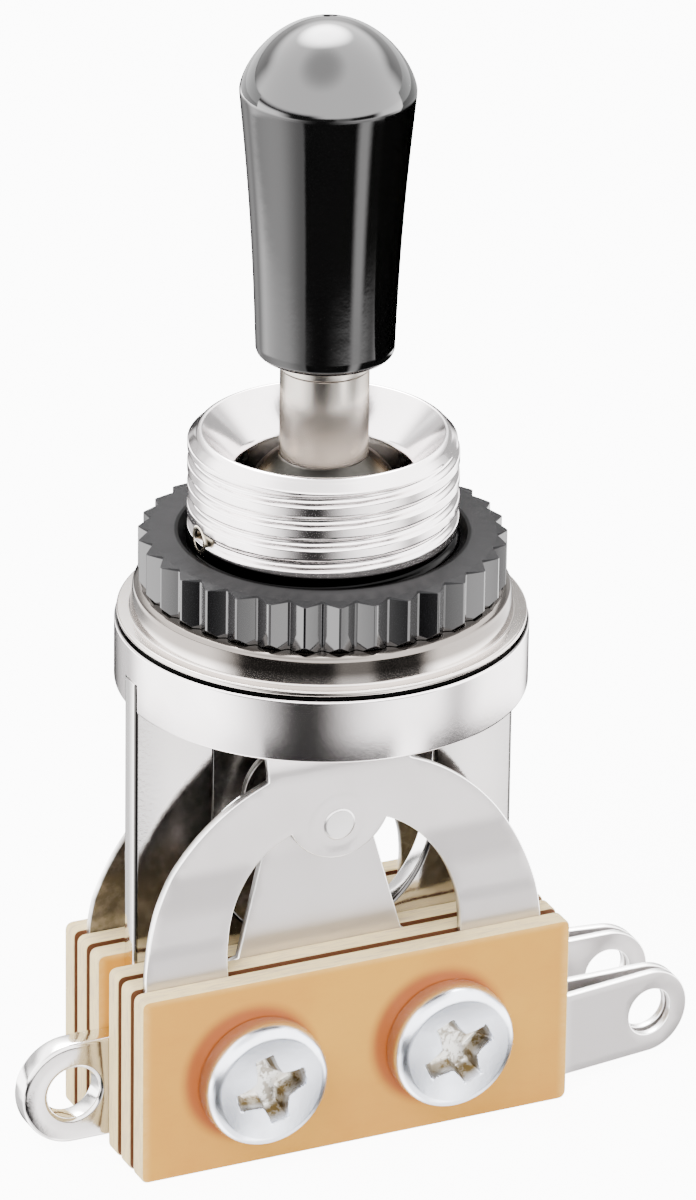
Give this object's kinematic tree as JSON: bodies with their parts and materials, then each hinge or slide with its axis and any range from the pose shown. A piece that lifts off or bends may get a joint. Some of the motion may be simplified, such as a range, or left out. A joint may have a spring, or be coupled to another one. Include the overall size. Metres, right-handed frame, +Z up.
{
  "type": "toggle switch",
  "caption": "Short straight three-way toggle switch: threaded bushing with ring nut, black flared tip and two leaf contact stacks on a frame plate",
  "frame": {"origin": "On the bushing's axis, in the plane where the panel rests on the collar disc. The bushing and the lever rise above it and the cup and contact stacks hang below it.", "axes": "+Z runs up along the bushing towards the tip, X runs along the contact plates with the solder lugs of the leaves on the +X side, and -Y is the front, where the screw heads are."},
  "size_m": [0.0321, 0.0184, 0.0524],
  "materials": {
    "nickel": "bright nickel plate",
    "frame_nickel": "nickel-plated sheet",
    "leaf_metal": "satin spring leaf with bright sheared edges",
    "zinc": "bluish zinc plate",
    "contact_metal": "silver contact",
    "black_metal": "glossy black plate",
    "black_plastic": "polished black",
    "phenolic": "tan laminate with pale fibrous edges",
    "nylon": "natural white"
  },
  "bodies": {
    "frame": {"bushing": "nickel", "pivot_pin": "nickel", "collar_disc": "nickel", "frame_cup": "nickel", "frame_plate": "frame_nickel", "front_inner_plate": "phenolic", "front_middle_plate": "phenolic", "front_outer_plate": "phenolic", "rear_inner_plate": "phenolic", "rear_middle_plate": "phenolic", "rear_outer_plate": "phenolic", "front_arch_leaf": "leaf_metal", "front_tongue_leaf": "leaf_metal", "rear_arch_leaf": "leaf_metal", "rear_tongue_leaf": "leaf_metal", "front_arch_contact": "contact_metal", "front_tongue_contact": "contact_metal", "rear_arch_contact": "contact_metal", "rear_tongue_contact": "contact_metal", "left_screw": "zinc", "right_screw": "zinc", "left_screw_nut": "zinc", "right_screw_nut": "zinc", "left_sleeve": "nylon", "right_sleeve": "nylon"},
    "lever": {"lever": "nickel", "lever_bead": "nylon", "toggle_tip": "black_plastic"},
    "ring_nut": {"ring_nut": "black_metal"}
  },
  "joints": [
    {"name": "lever_tilt", "type": "hinge", "parent": "frame", "child": "lever", "pos_m": [0, 0, 0.0029], "axis": [1, 0, 0], "range_deg": [-15, 15], "deforming": ["front_arch_leaf", "rear_arch_leaf"]},
    {"name": "ring_nut_turn", "type": "hinge", "parent": "frame", "child": "ring_nut", "pos_m": [0, 0, 0.001], "axis": [0, 0, 1], "continuous": true}
  ]
}
